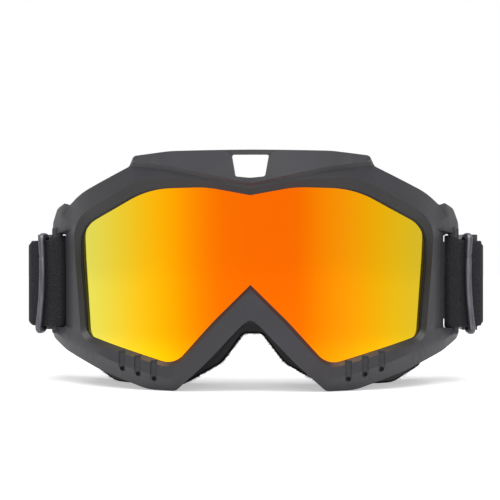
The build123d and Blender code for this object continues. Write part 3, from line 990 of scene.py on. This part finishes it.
def inner_skirt():
    """A soft flared wall from the lens to the face flange, with vent windows above and below."""
    front = keyed_ring(SKIRT_MOUTH, LENS_LAP, MOUTH_KEYS)
    back = keyed_ring(FOAM_OUTLINE, -3.0, FOAM_KEYS)
    rows = 18

    def place(row, column):
        return on_skirt(front[column], back[column], row / (rows - 1))

    wall = grid("inner_skirt_wall", rows, len(front), place, closed_columns=True)
    apply(wall, "SOLIDIFY", thickness=SKIRT_WALL, offset=-1.0, use_even_offset=True)
    edit(wall, face_out)
    foam = outline(FOAM_OUTLINE)
    flange = solid_plate(
        "face_flange", grown(foam, -1.0), lambda x, d: face_y(x) - FLANGE_THICK, face_y,
        holes=[grown(foam, 1.0 - FOAM_BAND)],
    )
    boolean(wall, flange, "UNION")
    windows = [(low, high, 80, 110) for low, high in UPPER_VENTS]
    windows += [(low, high, 2, 26) for low, high in LOWER_VENTS]
    for side in (1, -1):
        for low, high, bottom, top in windows:
            near, far = side * low, side * high
            corners = [(near, bottom, 0, 0), (near, top, 0, 0), (far, top, 0, 0), (far, bottom, 0, 0)]
            window = solid_plate(
                "vent_window", trace(corners, 3.0), lambda x, d: rim_y(x) + 17.0,
                lambda x: face_y(x) - 5.5,
            )
            boolean(wall, window, "DIFFERENCE")
    return finish_piece(wall, "goggle_body", skirt_urethane(), ["inner_skirt"], 35)


def padding(name, first, last, edge_radius, crown, roughness, seed):
    """A soft ring behind the flange, between two depths, its back crowned and its edges rounded."""
    outer = keyed_ring(FOAM_OUTLINE, 0, FOAM_KEYS)
    inner = keyed_ring(FOAM_OUTLINE, -FOAM_BAND, FOAM_KEYS)
    thick = last - first
    section = []
    for u0, d0, start in ((0, first, 180), (1, first, 270), (1, last, 0), (0, last, 90)):
        radius = edge_radius if d0 == last else min(0.6, thick / 3)
        share = radius / FOAM_BAND
        cu = share if u0 == 0 else 1 - share
        cd = d0 + radius if d0 == first else d0 - radius
        for k in range(6):
            angle = math.radians(start + 90 * k / 5)
            section.append((cu + share * math.cos(angle), cd + radius * math.sin(angle)))
        if (u0, d0) in ((1, first), (0, last)):
            continue
        for k in range(1, 6):
            along = (1 - 2 * share) * k / 6
            section.append((cu + along if u0 == 0 else cu - along, d0))

    def place(row, column):
        u, d = section[column]
        a, b = outer[row], inner[row]
        x, z = a.x + (b.x - a.x) * u, a.y + (b.y - a.y) * u
        d -= crown * (2 * u - 1)**2 * max(0.0, (d - first) / thick)
        y = face_y(x) + d
        wobble = noise.noise_vector(Vector((x, y + seed, z)) / 5.0) * roughness
        return (x + wobble.x, y + wobble.y, max(z + wobble.z, 0.0 if z < 2 else -9.0))

    return grid(name, len(outer), len(section), place, closed_rows=True, closed_columns=True)


def face_padding():
    foam = padding("face_foam_ring", 0.05, FOAM_THICK, 1.2, 0.0, 0.18, 3)
    foam = finish_piece(foam, "goggle_body", open_cell_foam(), ["face_foam"], 50)
    fleece = padding("face_fleece_ring", FOAM_THICK + 0.05, FOAM_THICK + FLEECE_THICK, 0.9, 0.7, 0.12, 11)
    fleece = finish_piece(fleece, "goggle_body", napped_fleece(), ["face_fleece"], 60)


def vent_foams():
    """Foam strips inside the skirt, over the vent windows."""
    front = keyed_ring(SKIRT_MOUTH, 1.2, MOUTH_KEYS)
    back = keyed_ring(FOAM_OUTLINE, -4.8, FOAM_KEYS)
    rows = 12
    for side, name in ((1, "left"), (-1, "right")):
        for part, low, high, top in (("upper", 12, 62, True), ("lower", 40, 68, False)):
            columns = [
                k for k in range(len(front))
                if low <= side * front[k].x <= high and (front[k].y > 60) == top
            ]
            columns.sort(key=lambda k: front[k].x)

            def place(row, column):
                a, b = front[columns[column]], back[columns[column]]
                near, far = skirt_depths(a, b)
                t_low = (rim_y(a.x) + 15.0 - near) / (far - near)
                t_high = (face_y(b.x) - 4.0 - near) / (far - near)
                return on_skirt(a, b, t_low + (t_high - t_low) * row / (rows - 1))

            strip = grid(f"{name}_{part}_vent_strip", rows, len(columns), place)
            facing = sum((f.normal for f in strip.data.polygons), Vector())
            outward = facing.z * (1 if top else -1) > 0
            apply(strip, "SOLIDIFY", thickness=2.6, offset=-1.0 if outward else 1.0)
            edit(strip, face_out)
            apply(strip, "BEVEL", width=0.5, segments=2, limit_method="ANGLE")
            stands_for = [f"{name}_{part}_vent_foam"]
            finish_piece(strip, "goggle_body", open_cell_foam(), stands_for, 50)


def nap():
    """Short loose fibres standing off the padding's edge, along the nose arch and the cheeks."""
    rng = random.Random(7)
    outer = keyed_ring(FOAM_OUTLINE, 0, FOAM_KEYS)
    n = len(outer)
    low = [k for k in range(n) if outer[k].y < 32]
    vertices, faces = [], []
    for _ in range(5200):
        k = rng.choice(low)
        a, b = outer[k], outer[(k + 1) % n]
        point = a.lerp(b, rng.random())
        along = (b - a).normalized()
        normal = Vector((-along.y, along.x))
        if normal.dot(point - Vector((point.x * 0.9, 60))) < 0:
            normal = -normal
        depth = rng.random() * (FOAM_THICK + FLEECE_THICK)
        root = Vector((point.x, face_y(point.x) + depth, point.y))
        lean = Vector((rng.gauss(0, 0.6), rng.gauss(0, 0.6), rng.gauss(0, 0.6)))
        direction = (Vector((normal.x, 0, normal.y)) + lean * 0.8).normalized()
        if root.z < 1.5 and direction.z < 0.02:
            direction.z = abs(direction.z) * 0.3 + 0.02
        length = 0.4 + 1.1 * rng.random()**1.5
        tip = root + direction * length
        side = direction.orthogonal().normalized()
        other = direction.cross(side)
        first = len(vertices)
        root = root - direction * 0.15
        for turn in range(3):
            angle = turn * math.tau / 3
            vertices.append(root + (side * math.cos(angle) + other * math.sin(angle)) * 0.075)
        vertices.append(tip)
        one, two, three, end = range(first, first + 4)
        faces += [(one, three, two), (one, two, end), (two, three, end), (three, one, end)]
    obj = new_object("padding_nap", vertices, faces)
    edit(obj, face_out)
    return finish_piece(obj, "goggle_body", napped_fleece())


# ---------------------------------------------------------------- strap, rings and adjusters

STRAP_WIDTH = 41.0
STRAP_THICK = 1.5
STRAP_LOW = 26.6
STRAP_HIGH = STRAP_LOW + STRAP_WIDTH
STRAP_MIDDLE = STRAP_LOW + STRAP_WIDTH / 2
STRAP_SPREAD = 219.2
LAYER_GAP = 0.25
LAYER_PITCH = STRAP_THICK + LAYER_GAP
BAR_X = 94.9
BAR_Y = rim_y(BAR_X) + 6.0
BAR_WIDTH, BAR_THICK, BAR_ROUND = 5.0, 3.6, 1.0
RUN_ANGLE, SIDE_ANGLE = 18.0, 94.5
RUN_LENGTH = 12.3
RUN_START = 2.4
TURN_R = 3.5
BACK_R = 45
INNER_START = 8.0


def heading(degrees):
    return Vector((math.cos(math.radians(degrees)), math.sin(math.radians(degrees))))


RUN, RUN_IN = heading(RUN_ANGLE), heading(RUN_ANGLE + 90)
SIDE, SIDE_IN = heading(SIDE_ANGLE), heading(SIDE_ANGLE + 90)
TURN = Vector((STRAP_SPREAD / 2 - STRAP_THICK / 2 + 0.2, BAR_Y + 2.0))

# Keeper ring
WIRE_R = 1.6
RING_GAP = 0.2
RING_PLACE = 5.0
RING_TILT = 2.0
RING_CORNER = 2.2

# Adjuster: layers from the outside in are strap, turned end, centre bar and lap
SLIDER_PLACE = 36.0
SLIDER_TRAVEL = 8.0
SLIDER_HALF = 7.0
SLIDER_BAR = 2.0
SLIDER_BAR_WIDTH = 3.0
SLIDER_GAP = 0.2
FOLD_OUT = STRAP_THICK + SLIDER_GAP
BAR_IN = FOLD_OUT + STRAP_THICK / 2 + 0.2 + 1.0
LAP_IN = BAR_IN + 1.0 + 0.2 + STRAP_THICK / 2
LAP_LENGTH = 2 * SLIDER_TRAVEL + 3.5


def on_run(distance, inward):
    return TURN - RUN * (RUN_LENGTH - distance) + RUN_IN * inward


def on_side(distance, inward):
    return TURN + SIDE * distance + SIDE_IN * inward


def ribbon(name, path, edges, thick=STRAP_THICK):
    """Webbing with rounded edges laid along a plan path. edges(k) gives its low and high edge there."""
    round_r = thick * 0.42
    flats = 10
    section = []
    for across, level, start in ((1, 1, 0), (-1, 1, 90), (-1, -1, 180), (1, -1, 270)):
        for k in range(4):
            angle = math.radians(start + 30 * k)
            out = across * (thick / 2 - round_r) + round_r * math.cos(angle)
            section.append((out, level, round_r * (math.sin(angle) - level)))
        if across < 0 < level or level < 0 < across:
            last = section[-1]
            for k in range(1, flats):
                share = 1 - 2 * k / flats
                section.append((last[0], level * share, last[2] * share))
    n = len(path)
    frames = []
    for k in range(n):
        a, b = path[max(k - 1, 0)], path[min(k + 1, n - 1)]
        along = (b - a).normalized()
        frames.append((path[k], Vector((along.y, -along.x)), edges(k)))

    def place(row, column):
        point, out, (low, high) = frames[row]
        across, level, over = section[column]
        flat = point + out * across
        return (flat.x, flat.y, (low + high) / 2 + level * (high - low) / 2 + over)

    obj = grid(name, n, len(section), place, closed_columns=True)
    cap_ends(obj)
    return obj


def cap_ends(obj):
    """Closes a tube's open ends."""
    only(obj)
    bpy.ops.object.mode_set(mode="EDIT")
    bpy.ops.mesh.select_all(action="DESELECT")
    bpy.ops.mesh.select_non_manifold()
    bpy.ops.mesh.edge_face_add()
    bpy.ops.mesh.select_all(action="SELECT")
    bpy.ops.mesh.normals_make_consistent(inside=False)
    bpy.ops.object.mode_set(mode="OBJECT")


def strap_path():
    """The webbing's middle line seen from above, from its end at +X round both bars to its end at -X."""
    clear_x = BAR_WIDTH / 2 + LAYER_GAP + STRAP_THICK / 2
    clear_y = BAR_THICK / 2 + LAYER_GAP + STRAP_THICK / 2
    wrap = BAR_ROUND + LAYER_GAP + STRAP_THICK / 2
    mitre = (RUN_IN + SIDE_IN) / (1 + RUN_IN.dot(SIDE_IN))
    inner_end = SLIDER_PLACE - SLIDER_TRAVEL - 2.5
    back_along = (BACK_Y - STRAP_THICK / 2 - TURN.y) / SIDE.y
    corners = [
        (on_side(inner_end, LAP_IN - LAYER_PITCH), 0),
        (on_side(INNER_START, LAP_IN - LAYER_PITCH), 8),
        (TURN + mitre * LAYER_PITCH, TURN_R - LAYER_PITCH),
        (on_run(RUN_START, LAYER_PITCH), 2),
        (Vector((BAR_X + BAR_WIDTH / 2, BAR_Y + clear_y)), 2),
        (Vector((BAR_X - clear_x, BAR_Y + clear_y)), wrap),
        (Vector((BAR_X - clear_x, BAR_Y - clear_y)), wrap),
        (Vector((BAR_X + BAR_WIDTH / 2, BAR_Y - clear_y)), 2),
        (on_run(RUN_START, 0), 2),
        (TURN, TURN_R),
        (on_side(back_along, 0), BACK_R),
    ]
    half = [(p.x, p.y, r, 0) for p, r in corners]
    full = half + [(-x, y, r, d) for x, y, r, d in reversed(half)]
    return [Vector(p[:2]) for p in trace(full, 2.2, closed=False)]


def elastic_strap():
    """One webbing round both strap bars, wider at the bars and narrower at the turns."""
    path = strap_path()

    def edges(k):
        point = path[k]
        x = abs(point.x)
        near_frame = point.y < -15
        at_bar = math.exp(-(((x - 91.5) / 5.5)**2)) if near_frame else 0.0
        at_turn = math.exp(-(((x - 109.3) / 1.6)**2)) if near_frame else 0.0
        wander = 0.1 * noise.noise(Vector((point.x, point.y, 0)) / 22.0)
        low = STRAP_LOW - 0.4 * at_bar + 2.0 * at_turn + wander
        high = STRAP_HIGH + 2.5 * at_bar - 2.2 * at_turn + wander
        return low, high

    obj = ribbon("elastic_strap_webbing", path, edges)
    return finish_piece(obj, "goggle_body", elastic_webbing(560), ["elastic_strap"], 40)


def strap_grips():
    """Silicone beads on the strap's inner face, across the back of the head."""
    beads = []
    y = BACK_Y - STRAP_THICK
    for row in (-1, 0, 1):
        z = STRAP_MIDDLE + row * STRAP_WIDTH / 4
        for k in range(27):
            x = (k - 13) * 3.9
            bpy.ops.mesh.primitive_cube_add(size=1, location=(x, y - 0.15, z), scale=(3.0, 0.7, 2.0))
            bead = bpy.context.object
            bead.name = "grip_bead"
            bpy.ops.object.transform_apply(location=True, rotation=True, scale=True)
            apply(bead, "BEVEL", width=0.3, segments=2)
            beads.append(bead)
    joined = join(*beads)
    joined.name = "strap_grip_beads"
    return finish_piece(joined, "goggle_body", printed_silicone(), ["strap_grip"], 50)


def both_sides(build):
    """Builds a piece for the wearer's left, then its mirror image for the right."""
    for side, name in ((1, "left"), (-1, "right")):
        build(side, name)


def flip(obj, side):
    if side < 0:
        for vertex in obj.data.vertices:
            vertex.co.x = -vertex.co.x
        edit(obj, face_out)
    return obj


def keeper_ring(side, name):
    """A bent wire loop round the two layers of the strap, butt-jointed on its front leg."""
    across = LAYER_PITCH + STRAP_THICK + 2 * RING_GAP + 2 * WIRE_R
    tall = STRAP_WIDTH + 2 * RING_GAP + 3.8
    centre = on_run(RING_PLACE, LAYER_PITCH / 2)
    lean = math.radians(RING_TILT)
    facing = Vector((RUN.x * math.cos(lean), RUN.y * math.cos(lean), math.sin(lean)))
    width_way = Vector((RUN_IN.x, RUN_IN.y, 0))
    tall_way = facing.cross(width_way)
    if tall_way.z < 0:
        tall_way = -tall_way
    middle = Vector((centre.x, centre.y, STRAP_MIDDLE))
    w, h = across / 2, tall / 2
    corners = [(x, z, RING_CORNER, 0) for x, z in ((-w, h), (w, h), (w, -h), (-w, -h))]
    loop = [Vector(p[:2]) for p in trace(corners, 1.5)]
    n = len(loop)
    sides = 20
    joint = h - 9.5

    def place(row, column):
        p = loop[row]
        along = (loop[(row + 1) % n] - loop[row - 1]).normalized()
        out = Vector((-along.y, along.x))
        front_leg = p.x < 0
        at_joint = front_leg and abs(p.y - joint) < 0.8
        radius = WIRE_R * 0.86 if at_joint else WIRE_R
        bow = -0.35 * (1 - (p.y / h)**2) if front_leg else 0.0
        dish = 0.2 - 1.6 * (1 - (p.y / h)**2) + 0.7 * (p.x / w + 1) / 2
        angle = math.tau * column / sides
        ring = out * math.cos(angle) * radius
        flat = p + ring + Vector((bow, 0))
        lengthwise = facing * (math.sin(angle) * radius * 1.06 + dish)
        return middle + width_way * flat.x + tall_way * flat.y + lengthwise

    obj = grid(f"{name}_keeper_wire", n, sides, place, closed_rows=True, closed_columns=True)
    flip(obj, side)
    return finish_piece(obj, f"{name}_keeper", phosphated_wire(), [f"{name}_keeper_ring"], 60)


def to_side(obj):
    """Lays a piece drawn as (along, inwards, height) along the strap's side stretch."""
    for vertex in obj.data.vertices:
        flat = on_side(vertex.co.x, vertex.co.y)
        vertex.co = (flat.x, flat.y, vertex.co.z)
    edit(obj, face_out)


def adjuster(side, name):
    """A moulded three-bar slider: two outer bars over the strap and a centre bar inside it."""
    low, high, rail = STRAP_LOW - 0.6, STRAP_HIGH + 0.6, 2.6
    outside = -(STRAP_THICK / 2 + SLIDER_GAP + SLIDER_BAR)
    over = outside + SLIDER_BAR
    inside = BAR_IN + SLIDER_BAR / 2
    front, back = SLIDER_PLACE - SLIDER_HALF, SLIDER_PLACE + SLIDER_HALF
    half_bar = SLIDER_BAR_WIDTH / 2
    body = block(f"{name}_slider_body", (front, outside, low - rail), (back, inside, low))
    for a, b in (
        ((front, outside, high), (back, inside, high + rail)),
        ((front, outside, low - rail), (front + SLIDER_BAR_WIDTH, over, high + rail)),
        ((back - SLIDER_BAR_WIDTH, outside, low - rail), (back, over, high + rail)),
        (
            (SLIDER_PLACE - half_bar, inside - SLIDER_BAR, low - 0.5),
            (SLIDER_PLACE + half_bar, inside, high + 0.5),
        ),
    ):
        boolean(body, block("slider_bar", a, b), "UNION")
    apply(body, "BEVEL", width=0.55, segments=3, limit_method="ANGLE")
    to_side(body)
    flip(body, side)
    return finish_piece(body, f"{name}_slider", moulded_acetal(), [f"{name}_adjuster"], 40)


def strap_end(side, name):
    """The strap's end, turned round the adjuster's centre bar and lapped back inside."""
    turn = SLIDER_PLACE + SLIDER_BAR_WIDTH / 2 + SLIDER_GAP + STRAP_THICK / 2
    wrap = STRAP_THICK / 2 + SLIDER_GAP
    corners = [
        (on_side(SLIDER_PLACE - LAP_LENGTH, LAP_IN), 0), (on_side(turn, LAP_IN), wrap),
        (on_side(turn, FOLD_OUT), wrap), (on_side(SLIDER_PLACE - SLIDER_BAR_WIDTH, FOLD_OUT), 0),
    ]
    path = [Vector(p[:2]) for p in trace([(p.x, p.y, r, 0) for p, r in corners], 1.5, closed=False)]
    obj = ribbon(f"{name}_strap_end_webbing", path, lambda k: (STRAP_LOW, STRAP_HIGH))
    flip(obj, side)
    return finish_piece(obj, f"{name}_slider", elastic_webbing(48), [f"{name}_strap_end"], 40)


def lap_stitches(side, name):
    """Two rows of single stitches across the lap."""
    stitches = []
    inside = LAP_IN + STRAP_THICK / 2
    for row in (0, 9.0):
        start = SLIDER_PLACE - LAP_LENGTH + 3.0 + row
        count = 13
        for k in range(count):
            z = STRAP_MIDDLE + (k - (count - 1) / 2) * 2.85
            bpy.ops.mesh.primitive_cylinder_add(
                vertices=8, radius=0.28, depth=2.3, location=(start + 0.4, inside + 0.05, z),
            )
            stitch = bpy.context.object
            bpy.ops.object.transform_apply(location=True, rotation=True, scale=True)
            apply(stitch, "BEVEL", width=0.14, segments=2, limit_method="ANGLE")
            stitches.append(stitch)
    joined = join(*stitches)
    joined.name = f"{name}_lap_thread"
    to_side(joined)
    flip(joined, side)
    return finish_piece(joined, f"{name}_slider", polyester_thread(), [f"{name}_lap_stitching"], 50)


camera()
studio()
front_frame()
lens()
lens_gasket()
gap_shadow_band()
inner_skirt()
vent_foams()
face_padding()
nap()
elastic_strap()
strap_grips()
for build in (keeper_ring, adjuster, strap_end, lap_stitches):
    both_sides(build)
